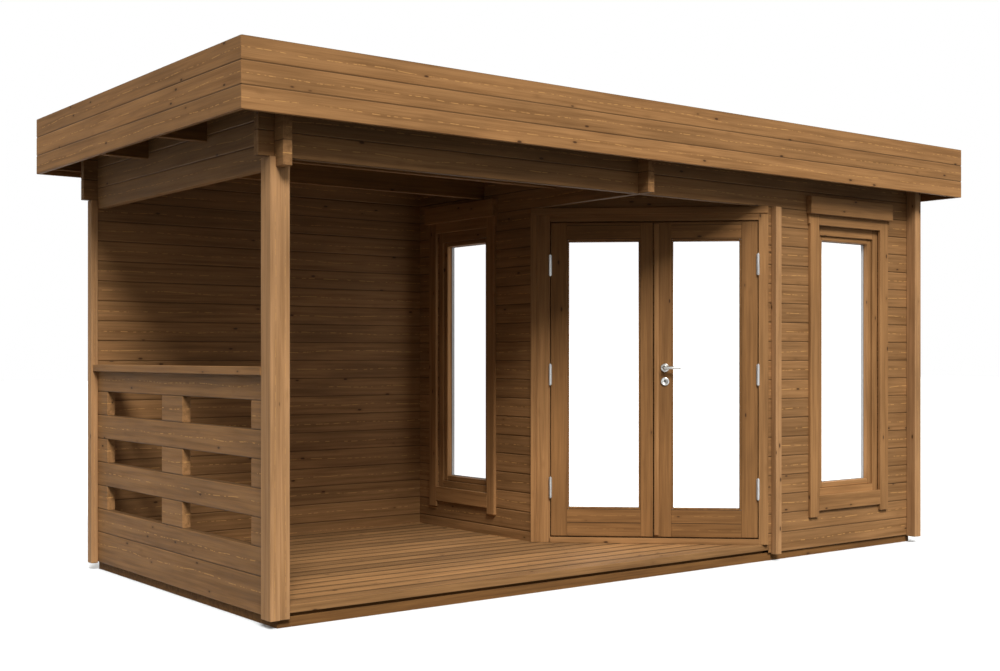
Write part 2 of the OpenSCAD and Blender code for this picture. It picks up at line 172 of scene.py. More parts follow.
def copies(obj: bpy.types.Object, step: Point, count: int) -> list[bpy.types.Object]:
    """Copies a piece in a row, each copy with its own mesh.

    Args:
        obj: The first piece.
        step: The way from one to the next.
        count: How many in all.

    Returns:
        The whole row, with the first piece in front.
    """
    row = [obj]
    for i in range(1, count):
        twin = obj.copy()
        twin.data = obj.data.copy()
        twin.data.transform(Matrix.Translation(Vector(step) * i))
        bpy.context.scene.collection.objects.link(twin)
        row.append(twin)
    return row


def join(name: str, parts: Iterable[bpy.types.Object]) -> bpy.types.Object:
    """Joins pieces into one object of the given name.

    Args:
        name: The object's name.
        parts: The pieces.

    Returns:
        The joined object.
    """
    parts = list(parts)
    deselect_all()
    for part in parts:
        part.select_set(True)
    bpy.context.view_layer.objects.active = parts[0]
    if len(parts) > 1:
        bpy.ops.object.join()
    obj = bpy.context.active_object
    obj.name = name
    obj.data.name = name
    return obj


def put(obj: bpy.types.Object, place: Matrix) -> bpy.types.Object:
    """Moves a piece to its place and leaves that place in its mesh.

    Args:
        obj: The piece.
        place: Where its own axes lie.

    Returns:
        The piece.
    """
    obj.data.transform(place)
    obj.data.update()
    return obj


def merged_copy(node: str) -> bpy.types.Object:
    """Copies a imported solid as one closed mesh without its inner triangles.

    Args:
        node: The solid's name.

    Returns:
        The copy, with no material.
    """
    obj = bpy.data.objects.new(node + "_timber", frame["nodes"][node].data.copy())
    bpy.context.scene.collection.objects.link(obj)
    obj.data.materials.clear()
    pick(obj)
    if obj.data.has_custom_normals:
        bpy.ops.mesh.customdata_custom_splitnormals_clear()
    bpy.ops.object.mode_set(mode="EDIT")
    bpy.ops.mesh.select_all(action="SELECT")
    bpy.ops.mesh.remove_doubles(threshold=0.00002)
    bpy.ops.mesh.dissolve_limited(angle_limit=math.radians(0.5))
    bpy.ops.object.mode_set(mode="OBJECT")
    bpy.ops.object.shade_flat()
    return obj


def cut_to(obj: bpy.types.Object, node: str) -> bpy.types.Object:
    """Cuts a bed of boards to the outline of the solid that it stands for.

    Args:
        obj: The boards.
        node: The solid's name.

    Returns:
        The cut boards.
    """
    cutter = merged_copy(node)
    pick(obj)
    trim = obj.modifiers.new("cut_to_outline", "BOOLEAN")
    trim.operation = "INTERSECT"
    trim.solver = "EXACT"
    trim.use_self = True
    trim.object = cutter
    bpy.ops.object.modifier_apply(modifier=trim.name)
    bpy.data.objects.remove(cutter)
    return obj


def hand_over(obj: bpy.types.Object, body: str, slot: str, finish: bpy.types.Material,
              *stands_for: str) -> bpy.types.Object:
    """Gives a finished piece its material, its body and the solids it stands for.

    Args:
        obj: The piece.
        body: The body that it rides on.
        slot: The record's material slot; not used.
        finish: Its material.
        stands_for: Solids that aren't shown any more.

    Returns:
        The piece.
    """
    obj.data.materials.clear()
    obj.data.materials.append(finish)
    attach(obj, body)
    if stands_for:
        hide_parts(*stands_for)
    LOG.info("%s: %d faces on %s", obj.name, len(obj.data.polygons), body)
    return obj


# ----------------------------------------------------------------- finishes


class Recipe:
    """A node tree under construction, with short calls for its usual steps."""

    def __init__(self, name: str) -> None:
        """Starts an empty material with one shader.

        Args:
            name: The material's name.
        """
        self.material = bpy.data.materials.new(name)
        self.material.use_nodes = True
        self.tree = self.material.node_tree
        self.shader = self.tree.nodes["Principled BSDF"]

    def node(self, kind: str, **settings) -> bpy.types.Node:
        """Adds a node and sets its own properties."""
        made = self.tree.nodes.new(kind)
        for key, value in settings.items():
            setattr(made, key, value)
        return made

    def feed(self, socket, value) -> None:
        """Links an output to a socket, or sets the socket to a plain value."""
        if isinstance(value, bpy.types.NodeSocket):
            self.tree.links.new(value, socket)
        else:
            socket.default_value = value

    def sum(self, operation: str, a, b=0.0, c=0.0):
        """One step of arithmetic.

        Args:
            operation: The Math node's operation.
            a: First value or output.
            b: Second value or output.
            c: Third value or output.

        Returns:
            The result's output.
        """
        made = self.node("ShaderNodeMath", operation=operation)
        for socket, value in zip(made.inputs, (a, b, c)):
            self.feed(socket, value)
        return made.outputs[0]

    def fade(self, value, low: float, high: float, from_value: float = 0.0, to_value: float = 1.0):
        """Turns a value smoothly from one level to another between two limits."""
        made = self.node("ShaderNodeMapRange", interpolation_type="SMOOTHSTEP")
        for socket, part in zip(made.inputs, (value, low, high, from_value, to_value)):
            self.feed(socket, part)
        return made.outputs[0]

    def noise(self, vector, scale: float, detail: float = 3.0, rough: float = 0.55):
        """A soft random pattern, from 0 to 1, read at the given point."""
        made = self.node("ShaderNodeTexNoise")
        self.feed(made.inputs["Vector"], vector)
        made.inputs["Scale"].default_value = scale
        made.inputs["Detail"].default_value = detail
        made.inputs["Roughness"].default_value = rough
        return made.outputs[0]

    def scaled(self, vector, x: float, y: float, z: float):
        """A point with each of its coordinates multiplied."""
        made = self.node("ShaderNodeVectorMath", operation="MULTIPLY")
        self.feed(made.inputs[0], vector)
        made.inputs[1].default_value = (x, y, z)
        return made.outputs[0]

    def mixed(self, share, a, b):
        """Blends two colours by a share from 0 to 1."""
        made = self.node("ShaderNodeMix", data_type="RGBA")
        self.feed(made.inputs[0], share)
        for socket, value in ((made.inputs[6], a), (made.inputs[7], b)):
            plain = not isinstance(value, bpy.types.NodeSocket)
            self.feed(socket, (*value, 1.0) if plain else value)
        return made.outputs[2]

    def darkened(self, colour, level):
        """Multiplies a colour by a level."""
        made = self.node("ShaderNodeVectorMath", operation="SCALE")
        self.feed(made.inputs[0], colour)
        self.feed(made.inputs["Scale"], level)
        return made.outputs[0]

    def raised(self, height, strength: float, depth: float) -> None:
        """Gives the shader a relief."""
        bump = self.node("ShaderNodeBump")
        bump.inputs["Strength"].default_value = strength
        bump.inputs["Distance"].default_value = depth
        self.feed(bump.inputs["Height"], height)
        self.feed(self.shader.inputs["Normal"], bump.outputs[0])


@dataclass(frozen=True)
class WoodFinish:
    """Stained spruce: streaks along the fibres, knots, a tone for each board, and painted shade along the
    seams between courses.
    """

    label: str
    pale: Colour = (0.300, 0.156, 0.062)
    deep: Colour = (0.175, 0.085, 0.030)
    resin: Colour = (0.580, 0.310, 0.105)
    knot: Colour = (0.045, 0.018, 0.007)
    rough: float = 0.62
    relief: float = 0.35
    dashes: float = 0.70
    # Width of the band of painted shade along each seam between courses.
    seam_shade: float = 0.0022
    spread: float = 0.16

    def material(self, grain: Grain, foot: float = 0.0, course: float = 1.0,
                 across: str = "Z", seed: float = 0.0) -> bpy.types.Material:
        """Mixes the finish for boards of one direction and one course height.

        Args:
            grain: The way the fibres run.
            foot: Where the first course starts.
            course: Height or width of one course.
            across: The axis that the courses are counted along.
            seed: Moves the pattern, so that two pieces differ.

        Returns:
            The material.
        """
        r = Recipe(f"{self.label}_{grain.name.lower()}_{seed:g}")
        place = r.node("ShaderNodeTexCoord").outputs["Object"]
        counted = r.node("ShaderNodeSeparateXYZ")
        r.feed(counted.inputs[0], place)
        steps = r.sum("DIVIDE", r.sum("SUBTRACT", counted.outputs[across], foot), course)
        number = r.sum("FLOOR", steps)

        tone = r.node("ShaderNodeTexWhiteNoise", noise_dimensions="1D")
        r.feed(tone.inputs["W"], r.sum("ADD", number, seed + 0.37))
        turned = r.node("ShaderNodeMapping")
        turned.inputs["Rotation"].default_value = grain.value
        turned.inputs["Location"].default_value = (seed * 1.7, seed * 0.9, seed * 0.31)
        r.feed(turned.inputs["Vector"], place)
        shifted = r.node("ShaderNodeCombineXYZ")
        r.feed(shifted.inputs[0], r.sum("MULTIPLY", tone.outputs[0], 23.0))
        r.feed(shifted.inputs[1], r.sum("MULTIPLY", number, 0.173))
        moved = r.node("ShaderNodeVectorMath", operation="ADD")
        r.feed(moved.inputs[0], turned.outputs[0])
        r.feed(moved.inputs[1], shifted.outputs[0])
        fibre = moved.outputs[0]

        bands = r.noise(r.scaled(fibre, 1.5, 46.0, 46.0), 1.0, 4.0, 0.6)
        fine = r.noise(r.scaled(fibre, 5.0, 260.0, 260.0), 1.0, 3.0, 0.6)
        cloud = r.noise(r.scaled(fibre, 1.6, 5.0, 5.0), 1.0, 2.0)
        colour = r.mixed(r.fade(bands, 0.22, 0.70), self.deep, self.pale)
        colour = r.darkened(colour, r.fade(fine, 0.25, 0.75, 0.88, 1.10))
        colour = r.darkened(colour, r.fade(cloud, 0.25, 0.75, 0.86, 1.12))
        level = r.sum("MULTIPLY_ADD", tone.outputs[0], self.spread, 1.0 - self.spread / 2)
        colour = r.darkened(colour, level)

        colour = self.resin_dashes(r, colour, fibre, steps)
        colour, dot = self.knots(r, colour, fibre)
        # Painted shade: the colour is darkened towards 0.42 near each seam between courses, as if the joint
        # were in shade; the foot of the first course is left unshaded.
        from_seam = r.sum("MULTIPLY", r.sum("PINGPONG", steps, 0.5), course)
        first_edge = r.fade(steps, 0.03, 0.06, 1.0, 0.0)
        from_seam = r.sum("ADD", from_seam, first_edge)
        colour = r.darkened(colour, r.fade(from_seam, self.seam_shade * 0.4, self.seam_shade * 1.8, 0.42, 1.0))

        r.feed(r.shader.inputs["Base Color"], colour)
        r.feed(r.shader.inputs["Roughness"], r.fade(fine, 0.2, 0.8, self.rough - 0.08, self.rough + 0.12))
        r.shader.inputs["Specular IOR Level"].default_value = 0.16
        height = r.sum("SUBTRACT", r.sum("MULTIPLY_ADD", bands, 0.7, r.sum("MULTIPLY", fine, 0.5)), dot)
        r.raised(height, self.relief, 0.0012)
        return r.material

    def resin_dashes(self, r: Recipe, colour, fibre, steps):
        """Adds the broken bright line of summer wood that runs along a board's middle."""
        drift = r.noise(r.scaled(fibre, 2.4, 0.6, 0.6), 1.0, 1.0)
        middle = r.sum("ADD", r.sum("FRACT", steps), r.sum("MULTIPLY_ADD", drift, 0.34, -0.67))
        line = r.fade(r.sum("ABSOLUTE", middle), 0.010, 0.026, 1.0, 0.0)
        broken = r.fade(r.noise(r.scaled(fibre, 26.0, 30.0, 30.0), 1.0, 2.0), 0.46, 0.56)
        share = r.sum("MULTIPLY", r.sum("MULTIPLY", line, broken), self.dashes)
        return r.mixed(share, colour, self.resin)

    def knots(self, r: Recipe, colour, fibre):
        """Adds small dark knots with a darker halo, and gives their height back too."""
        cells = r.node("ShaderNodeTexVoronoi")
        r.feed(cells.inputs["Vector"], r.scaled(fibre, 5.2, 13.0, 13.0))
        cells.inputs["Scale"].default_value = 1.0
        away = cells.outputs["Distance"]
        halo = r.fade(away, 0.05, 0.24, 1.0, 0.0)
        dot = r.fade(away, 0.045, 0.095, 1.0, 0.0)
        colour = r.mixed(r.sum("MULTIPLY", halo, 0.45), colour, self.deep)
        return r.mixed(r.sum("MULTIPLY", dot, 0.9), colour, self.knot), dot


@dataclass(frozen=True)
class PaneFinish:
    """An opaque white pane that gives off light, so that it shows as a bright window."""

    white: Colour = (0.93, 0.95, 0.96)
    glow: float = 1.0

    def material(self) -> bpy.types.Material:
        """Mixes the pane with a faint ripple of float glass."""
        r = Recipe("milky_pane")
        place = r.node("ShaderNodeTexCoord").outputs["Object"]
        ripple = r.noise(place, 3.0, 1.0)
        r.feed(r.shader.inputs["Base Color"], r.mixed(ripple, self.white, (0.97, 0.98, 0.99)))
        r.shader.inputs["Roughness"].default_value = 0.08
        r.shader.inputs["Coat Weight"].default_value = 0.1
        r.shader.inputs["Coat Roughness"].default_value = 0.03
        # Painted glow: the pane gives off light of its own, though it is no lamp, so that it shows bright
        # white.
        r.shader.inputs["Emission Color"].default_value = (1.0, 1.0, 1.0, 1.0)
        r.shader.inputs["Emission Strength"].default_value = self.glow
        r.raised(ripple, 0.05, 0.001)
        return r.material


@dataclass(frozen=True)
class MetalFinish:
    """Brushed or satin metal with faint scratches."""

    label: str
    colour: Colour
    rough: float
    brush: float = 900.0

    def material(self) -> bpy.types.Material:
        """Mixes the metal."""
        r = Recipe(self.label)
        place = r.node("ShaderNodeTexCoord").outputs["Object"]
        lines = r.noise(r.scaled(place, self.brush, self.brush, self.brush * 0.05), 1.0, 2.0)
        dull = r.noise(place, 35.0, 3.0)
        darker = tuple(0.8 * part for part in self.colour)
        r.feed(r.shader.inputs["Base Color"], r.mixed(dull, darker, self.colour))
        r.shader.inputs["Metallic"].default_value = 1.0
        r.feed(r.shader.inputs["Roughness"], r.fade(lines, 0.2, 0.8, self.rough - 0.07, self.rough + 0.1))
        r.raised(lines, 0.12, 0.0002)
        return r.material


@dataclass(frozen=True)
class SheetFinish:
    """Felt, seals, spacers and the studio floor: matt sheets with a fine grain."""

    label: str
    colour: Colour
    second: Colour
    grit: float
    rough: float = 0.9
    relief: float = 0.4

    def material(self) -> bpy.types.Material:
        """Mixes the sheet."""
        r = Recipe(self.label)
        place = r.node("ShaderNodeTexCoord").outputs["Object"]
        speck = r.noise(place, self.grit, 4.0, 0.7)
        wear = r.noise(place, 1.3, 3.0)
        share = r.sum("MULTIPLY_ADD", speck, 0.6, r.sum("MULTIPLY", wear, 0.4))
        r.feed(r.shader.inputs["Base Color"], r.mixed(r.fade(share, 0.3, 0.7), self.colour, self.second))
        r.shader.inputs["Roughness"].default_value = self.rough
        r.raised(speck, self.relief, 0.0008)
        return r.material


LOG_WOOD = WoodFinish("log_wood")
TRIM_WOOD = WoodFinish("trim_wood", pale=(0.335, 0.172, 0.066), deep=(0.205, 0.098, 0.034), dashes=0.65)
POST_WOOD = WoodFinish("post_wood", pale=(0.430, 0.237, 0.108), deep=(0.285, 0.150, 0.062), dashes=0.7,
                       seam_shade=0.0002, spread=0.10)
DECK_WOOD = WoodFinish("deck_wood", pale=(0.305, 0.162, 0.064), deep=(0.165, 0.081, 0.030), dashes=0.2,
                       seam_shade=0.0110, spread=0.50, relief=0.5, rough=0.7)
JOINERY_WOOD = WoodFinish("joinery_wood", pale=(0.255, 0.124, 0.043), deep=(0.152, 0.070, 0.022),
                          dashes=0.25, spread=0.12)
ROUGH_WOOD = WoodFinish("rough_wood", pale=(0.215, 0.102, 0.032), deep=(0.120, 0.053, 0.016),
                        dashes=0.2, relief=0.6, rough=0.75)
STEEL = MetalFinish("satin_steel", (0.62, 0.62, 0.60), 0.30)
HINGE_ZINC = MetalFinish("hinge_zinc", (0.66, 0.67, 0.67), 0.36, 500.0)
# Dark metal for the keyhole's round hole and slot, which are not cut: painted shade laid where the hole
# would be.
KEYHOLE_SHADE = MetalFinish("keyhole_shade_metal", (0.10, 0.095, 0.085), 0.45)
RUBBER = SheetFinish("seal_rubber", (0.012, 0.012, 0.013), (0.03, 0.03, 0.032), 240.0, 0.7, 0.2)
SPACER = SheetFinish("grey_spacer", (0.26, 0.265, 0.27), (0.32, 0.325, 0.33), 60.0, 0.5, 0.1)
FELT = SheetFinish("mineral_felt", (0.030, 0.031, 0.034), (0.10, 0.10, 0.105), 420.0)
STUDIO_FLOOR = SheetFinish("studio_floor", (0.88, 0.93, 0.98), (0.90, 0.95, 1.0), 3.0, 0.9, 0.0)


# ------------------------------------------------------------ sub-assemblies


@dataclass
class Timber:
    """A solid of stacked or single boards that keeps its own shape."""

    node: str
    wood: WoodFinish
    grain: Grain
    foot: float = 0.0
    course: float = 1.0
    across: str = "Z"
    slot: str = "log_wood"
    edge: float = SOFT_EDGE
    whole_width: bool = False

    def build(self, seed: float) -> bpy.types.Object:
        """Eases the solid's edges and stains it.

        Args:
            seed: Moves the grain, so that no two timbers are alike.

        Returns:
            The timber.
        """
        obj = merged_copy(self.node)
        add_bevel(obj, self.edge, 1, 30)
        foot, course = self.foot, self.course
        if self.whole_width:
            low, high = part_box(self.node)
            axis = "XYZ".index(self.across)
            foot = low[axis] - self.edge
            course = high[axis] - low[axis] + 2 * self.edge
        finish = self.wood.material(self.grain, foot, course, self.across, seed)
        return hand_over(obj, ROOT, self.slot, finish, self.node)


@dataclass
class BoardBed:
    """A floor or roof of parallel boards, cut to the outline of its solid."""

    node: str
    wood: WoodFinish
    slot: str
    width: float
    gap: float
    along_x: bool
    grooves: int = 0
    groove_w: float = 0.005
    groove_d: float = 0.0025

    def one_board(self, low: Vector, high: Vector) -> bpy.types.Object:
        """Models the first board, with its grooves pressed into one face."""
        across = 1 if self.along_x else 0
        start, end = low.copy(), high.copy()
        start[1 - across] -= 0.01
        end[1 - across] += 0.01
        start[across] = low[across] + self.gap / 2
        end[across] = low[across] + self.width - self.gap / 2
        if not self.grooves:
            return board(tuple(start), tuple(end), 0.003)
        strips = []
        pitch = (end[across] - start[across]) / self.grooves
        for i in range(self.grooves):
            rib_low, rib_high = start.copy(), end.copy()
            rib_low[across] = start[across] + i * pitch + self.groove_w / 2
            rib_high[across] = start[across] + (i + 1) * pitch - self.groove_w / 2
            rib_low[2] = end[2] - 2 * self.groove_d
            strips.append(board(tuple(rib_low), tuple(rib_high), 0.0012))
        core_high = end.copy()
        core_high[2] = end[2] - self.groove_d
        strips.append(board(tuple(start), tuple(core_high), 0.001))
        return join(self.node + "_board", strips)

    def build(self, seed: float) -> bpy.types.Object:
        """Lays the boards and cuts them to their outline."""
        low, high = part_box(self.node)
        across = 1 if self.along_x else 0
        count = math.ceil((high[across] - low[across]) / self.width)
        step = Vector((0, 0, 0))
        step[across] = self.width
        rows = copies(self.one_board(low, high), tuple(step), count)
        bed = cut_to(join(self.node + "_boards", rows), self.node)
        grain = Grain.ALONG_X if self.along_x else Grain.ALONG_Y
        finish = self.wood.material(grain, low[across], self.width, "XY"[across], seed)
        return hand_over(bed, ROOT, self.slot, finish, self.node)


@dataclass
class WindowUnit:
    """A tall fixed window: trims with a head board, the frame, the sash and seals.

    Its own axes are X along the wall, Y into the room from the wall's outer face.
    """

    name: str
    place: Matrix
    along_wall: Grain
    over_w: float = 0.739
    trim_w: float = 0.078
    trim_t: float = 0.020
    foot: float = 0.230
    head: float = 2.079
    low_trim: tuple[float, float] = (0.267, 0.359)
    top_trim: tuple[float, float] = (2.015, 2.079)
    cap: Point = (0.778, 0.045, 0.107)
    ear: tuple[float, float] = (0.010, 0.060)
    hole: tuple[float, float, float] = (0.596, 0.345, 2.030)
    inside: tuple[float, float, float] = (0.500, 0.400, 1.956)
    pane: tuple[float, float, float] = (0.434, 0.433, 1.926)
    frame_y: tuple[float, float] = (0.010, 0.076)
    sash_y: tuple[float, float] = (0.023, 0.076)
    seal_t: float = 0.004
    seal_depth: float = 0.020

    def trims(self) -> tuple[list, list]:
        """Models the boards round the window.

        Returns:
            The upright ones and the level ones.
        """
        half = self.over_w / 2
        upright, level = [], []
        for side in (-1, 1):
            edges = sorted((side * half, side * (half - self.trim_w)))
            upright.append(board((edges[0], -self.trim_t, self.foot), (edges[1], 0.0, self.head)))
            ear = sorted((side * half, side * (half + self.ear[0])))
            upright.append(board((ear[0], -self.trim_t, self.head - self.ear[1]), (ear[1], 0.0, self.head)))
        for low, high in (self.low_trim, self.top_trim):
            reach = half - self.trim_w
            level.append(board((-reach, -self.trim_t, low), (reach, 0.0, high)))
        level.append(board((-self.cap[0] / 2, -self.cap[1], self.head),
                           (self.cap[0] / 2, 0.0, self.head + self.cap[2]), 0.004))
        return upright, level

    def ring(self, outer: tuple, inner: tuple, depth: tuple, edge: float) -> tuple[list, list]:
        """Models four mitre-less members between an outer and an inner rectangle."""
        (w, z0, z1), (wi, zi0, zi1), (y0, y1) = outer, inner, depth
        upright = [board((min(s * w, s * wi) / 2, y0, z0), (max(s * w, s * wi) / 2, y1, z1), edge)
                   for s in (-1, 1)]
        level = [board((-wi / 2, y0, low), (wi / 2, y1, high), edge)
                 for low, high in ((z0, zi0), (zi1, z1))]
        return upright, level

    def build(self, seed: float) -> None:
        """Builds the window and gives each member its grain."""
        trim_up, trim_level = self.trims()
        frame_up, frame_level = self.ring(self.hole, self.inside, self.frame_y, 0.003)
        sash_up, sash_level = self.ring(self.inside, self.pane, self.sash_y, 0.005)
        seal_y = (self.sash_y[1] - self.seal_depth, self.sash_y[1])
        inner = (self.pane[0] - 2 * self.seal_t, self.pane[1] + self.seal_t, self.pane[2] - self.seal_t)
        seal = [*self.ring(self.pane, inner, seal_y, 0.001)]
        made = (
            ("trim_uprights", trim_up, "trim_wood", TRIM_WOOD, Grain.UPRIGHT, self.name + "_trim"),
            ("trim_rails", trim_level, "trim_wood", TRIM_WOOD, self.along_wall, None),
            ("sash_uprights", frame_up + sash_up, "joinery_wood", TRIM_WOOD, Grain.UPRIGHT,
             self.name + "_sash"),
            ("sash_rails", frame_level + sash_level, "joinery_wood", TRIM_WOOD, self.along_wall, None),
        )
        for label, parts, slot, wood, grain, node in made:
            obj = put(join(f"{self.name}_{label}", parts), self.place)
            seed += 1.3
            finish = wood.material(grain, -1.0, 9.0, "Z", seed)
            hand_over(obj, ROOT, slot, finish, *([node] if node else []))
        obj = put(join(self.name + "_seal", seal[0] + seal[1]), self.place)
        hand_over(obj, ROOT, "roof_felt", SPACER.material())


def door_place() -> Matrix:
    """The door's own frame: X along the leaves, Y into the room, from the two hinge pins."""
    pins = {j["name"]: Vector(j["pos_m"]) for j in frame["joints"]}
    first, last = pins["left_door_hinge"], pins["right_door_hinge"]
    along = (last - first).normalized()
    inward = Vector((-along.y, along.x, 0.0))
    corner = first + along * DoorSet.pin_gap + inward * DoorSet.pin_out
    turn = Matrix.Rotation(math.atan2(along.y, along.x), 4, "Z")
    return Matrix.Translation((corner.x, corner.y, 0.0)) @ turn


@dataclass
class DoorLeaf:
    """One glazed leaf: two stiles, a top rail, a bottom rail of two boards, and beads."""

    body: str
    node: str
    x0: float
    stile_a: float
    stile_b: float
    width: float = 0.611
    thick: float = 0.042
    z0: float = 0.140
    z1: float = 2.008
    top: float = 0.103
    bottom: float = 0.161
    bead: float = 0.010
    glass_t: float = 0.006

    def build(self, place: Matrix, seed: float) -> None:
        """Builds the leaf in the door's frame and moves it to its place."""
        x1 = self.x0 + self.width
        xa, xb = self.x0 + self.stile_a, x1 - self.stile_b
        za, zb = self.z0 + self.bottom, self.z1 - self.top
        stiles = [board((self.x0, 0.0, self.z0), (xa, self.thick, self.z1), 0.0025),
                  board((xb, 0.0, self.z0), (x1, self.thick, self.z1), 0.0025)]
        middle = self.z0 + self.bottom / 2
        rails = [board((xa, 0.0, self.z0), (xb, self.thick, middle), 0.0025),
                 board((xa, 0.0, middle), (xb, self.thick, za), 0.0025),
                 board((xa, 0.0, zb), (xb, self.thick, self.z1), 0.0025)]
        half = self.glass_t / 2
        centre = self.thick / 2
        beads, seals = [], []
        for y0, y1 in ((0.006, centre - half), (centre + half, self.thick - 0.006)):
            beads += [board((xa, y0, za), (xa + self.bead, y1, zb), 0.003),
                      board((xb - self.bead, y0, za), (xb, y1, zb), 0.003),
                      board((xa + self.bead, y0, za), (xb - self.bead, y1, za + self.bead), 0.003),
                      board((xa + self.bead, y0, zb - self.bead), (xb - self.bead, y1, zb), 0.003)]
        for y0, y1 in ((centre - half - 0.0025, centre - half), (centre + half, centre + half + 0.0025)):
            inner_a, inner_b = xa + self.bead, xb - self.bead
            seals += [board((inner_a, y0, za), (inner_a + 0.003, y1, zb), 0.0005),
                      board((inner_b - 0.003, y0, za), (inner_b, y1, zb), 0.0005),
                      board((inner_a, y0, za + self.bead), (inner_b, y1, za + self.bead + 0.003), 0.0005),
                      board((inner_a, y0, zb - self.bead - 0.003), (inner_b, y1, zb - self.bead), 0.0005)]
        parts = (("stiles", stiles, Grain.UPRIGHT, (self.node,)), ("rails", rails, Grain.ALONG_DOOR, ()),
                 ("beads", beads, Grain.UPRIGHT, ()))
        for label, group, grain, stands_for in parts:
            obj = put(join(f"{self.node}_{label}", group), place)
            course = self.bottom / 2 if label == "rails" else 9.0
            seed += 2.1
            finish = JOINERY_WOOD.material(grain, self.z0, course, "Z", seed)
            hand_over(obj, self.body, "joinery_wood", finish, *stands_for)
        obj = put(join(self.node + "_seal", seals), place)
        hand_over(obj, self.body, "roof_felt", RUBBER.material())


@dataclass
class LeverSet:
    """The lever with its spindle, the round roses, and the keyhole rosettes."""

    x: float = 0.683
    z: float = 1.144
    key_drop: float = 0.081
    thick: float = 0.042
    rose_r: float = 0.025
    rose_t: float = 0.009
    neck_r: float = 0.0085
    grip_r: float = 0.0092
    reach: float = 0.052
    grip_l: float = 0.103

    def rose(self, z: float, side: int) -> bpy.types.Object:
        """Models one round rose, thinner towards its rim, on one face of the leaf."""
        face = 0.0 if side < 0 else self.thick
        middle = face + side * self.rose_t / 2
        obj = round_bar((self.x, middle, z), self.rose_r, self.rose_t, "Y", 0.003, 64)
        bpy.ops.object.mode_set(mode="EDIT")
        bpy.ops.mesh.select_all(action="DESELECT")
        bpy.ops.object.mode_set(mode="OBJECT")
        for face_ in obj.data.polygons:
            face_.select = face_.normal.y * side > 0.99
        bpy.ops.object.mode_set(mode="EDIT")
        bpy.ops.mesh.inset(thickness=0.007, depth=0.0)
        bpy.ops.mesh.inset(thickness=0.0008, depth=-0.0008)
        bpy.ops.object.mode_set(mode="OBJECT")
        return obj

    def lever(self, side: int) -> list[bpy.types.Object]:
        """Models the neck and the grip of one side, the grip with a rounded tip."""
        face = 0.0 if side < 0 else self.thick
        end = face + side * (self.reach - self.grip_r)
        neck_l = abs(end - self.thick / 2)
        neck = round_bar((self.x, (end + self.thick / 2) / 2, self.z), self.neck_r, neck_l, "Y", 0.001)
        grip = round_bar((self.x + (self.grip_l - 0.012) / 2, end, self.z), self.grip_r,
                         self.grip_l + 0.012, "X", 0.0075)
        return [neck, grip]

    def build(self, place: Matrix) -> None:
        """Builds the whole set in the door's frame."""
        roses = [self.rose(self.z - drop, side) for drop in (0.0, self.key_drop) for side in (-1, 1)]
        plates = put(join("lock_roses", roses), place)
        hand_over(plates, "right_door", "handle_steel", STEEL.material(), "lock_plates")
        # The keyholes are not cut: a dark disc and slot on the outer face of each lower rose stand for the
        # hole, painted shade where it would be.
        keyhole_shade_parts = []
        for side in (-1, 1):
            face = -self.rose_t if side < 0 else self.thick + self.rose_t
            centre = (self.x, face, self.z - self.key_drop + 0.003)
            keyhole_shade_parts.append(round_bar(centre, 0.0065, 0.0012, "Y", 0.0003, 32))
            low = (self.x - 0.0022, face - 0.0006, self.z - self.key_drop - 0.012)
            keyhole_shade_parts.append(board(low, (self.x + 0.0022, face + 0.0006, self.z - self.key_drop), 0.0004))
        keyhole_shade_piece = put(join("keyholes", keyhole_shade_parts), place)
        hand_over(keyhole_shade_piece, "right_door", "handle_steel", KEYHOLE_SHADE.material())
        parts = self.lever(-1) + self.lever(1)
        obj = put(join("lever", parts), place)
        hand_over(obj, "door_lever", "handle_steel", STEEL.material(), "lever_handle")


